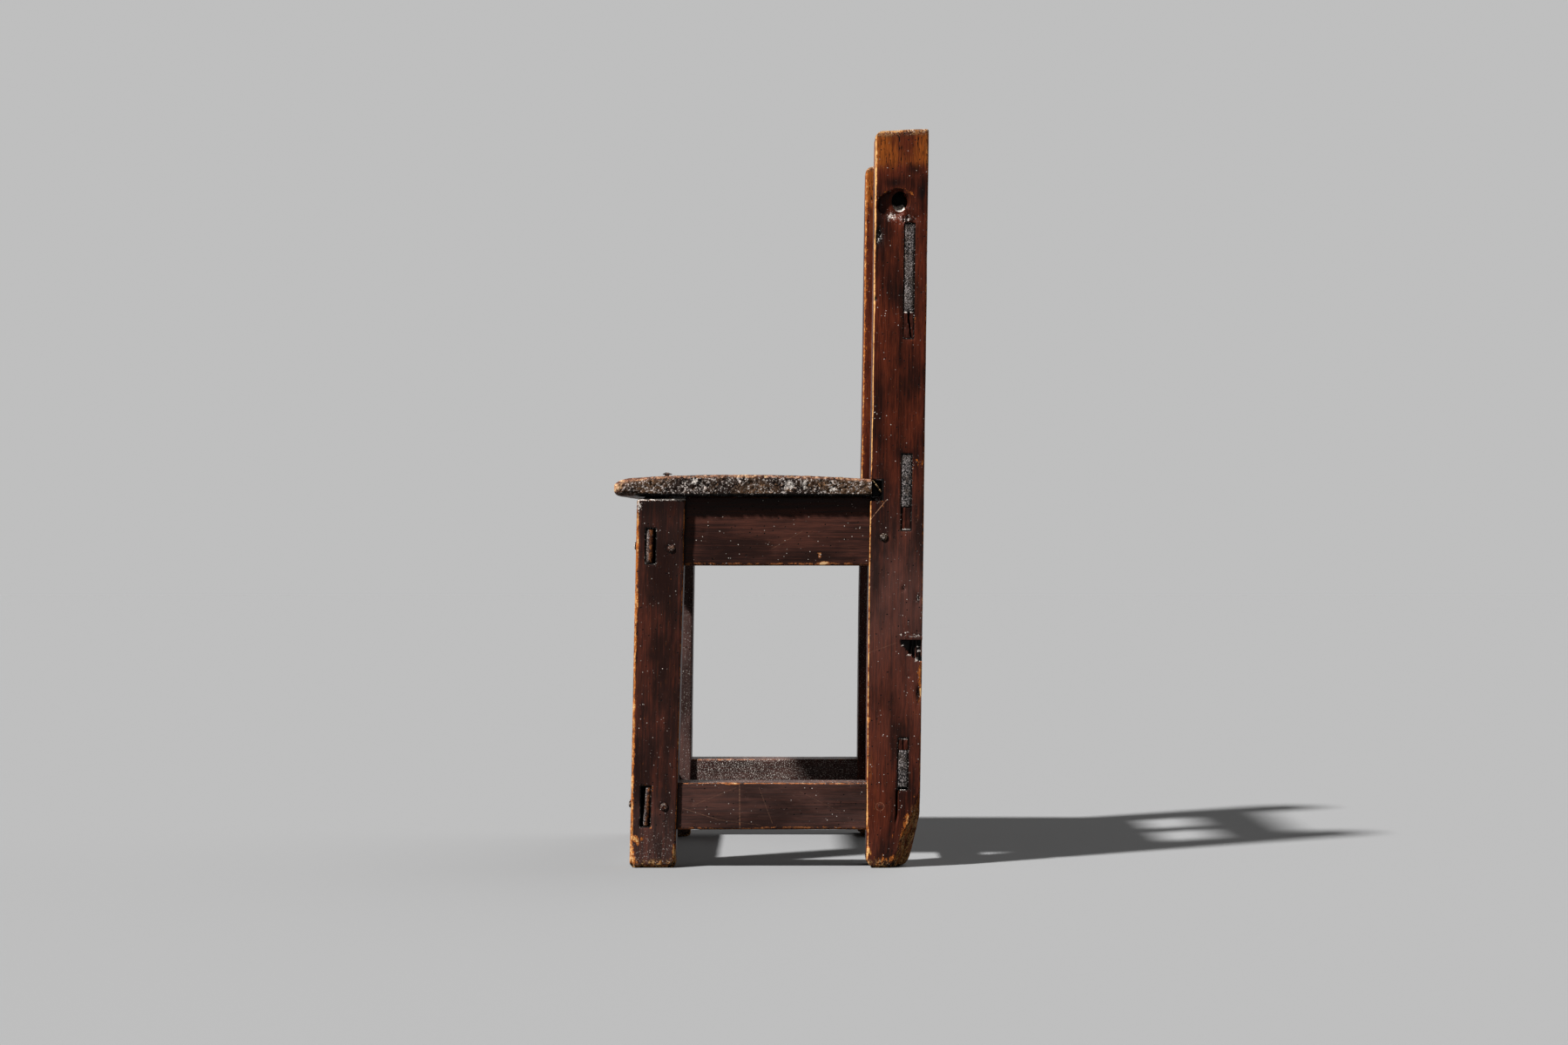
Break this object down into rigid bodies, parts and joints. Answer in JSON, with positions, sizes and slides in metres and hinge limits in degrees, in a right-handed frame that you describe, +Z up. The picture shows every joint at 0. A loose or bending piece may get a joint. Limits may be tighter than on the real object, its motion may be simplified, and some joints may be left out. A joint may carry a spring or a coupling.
{
  "type": "child's chair",
  "caption": "Worn child's chair in dark stained wood: pegged through-tenon frame, tall back posts joined by a crest rail and a centre bar, low crowned seat board, box stretchers.",
  "frame": {"origin": "on the floor, under the middle of the chair's outer box", "axes": "+Z up, -Y the way the sitter faces, +X the sitter's left"},
  "size_m": [0.284, 0.2471, 0.58],
  "materials": {
    "post_wood": "dark red-brown stain, worn to orange-brown on the edges, satin",
    "rail_wood": "dark brown stain, drier and greyer than the posts, satin",
    "seat_wood": "dark brown stain worn thin on top, rough grey end grain at the sides",
    "peg_wood": "dark grey-brown weathered end grain",
    "nail_iron": "forged, dull and rusted"
  },
  "bodies": {
    "root": {"left_front_leg": "post_wood", "right_front_leg": "post_wood", "left_back_post": "post_wood", "right_back_post": "post_wood", "left_seat_rail": "rail_wood", "right_seat_rail": "rail_wood", "left_stretcher": "rail_wood", "right_stretcher": "rail_wood", "front_seat_rail": "rail_wood", "front_stretcher": "rail_wood", "crest_rail": "rail_wood", "lower_back_rail": "rail_wood", "rear_stretcher": "rail_wood", "back_splat": "rail_wood", "seat_board": "seat_wood", "left_seat_rail_pegs": "peg_wood", "right_seat_rail_pegs": "peg_wood", "left_stretcher_pegs": "peg_wood", "right_stretcher_pegs": "peg_wood", "front_seat_rail_pegs": "peg_wood", "front_stretcher_pegs": "peg_wood", "crest_rail_pegs": "peg_wood", "lower_back_rail_pegs": "peg_wood", "rear_stretcher_pegs": "peg_wood", "crest_rail_wedges": "peg_wood", "lower_back_rail_wedges": "peg_wood", "rear_stretcher_wedges": "peg_wood", "seat_nails": "nail_iron"}
  },
  "joints": []
}
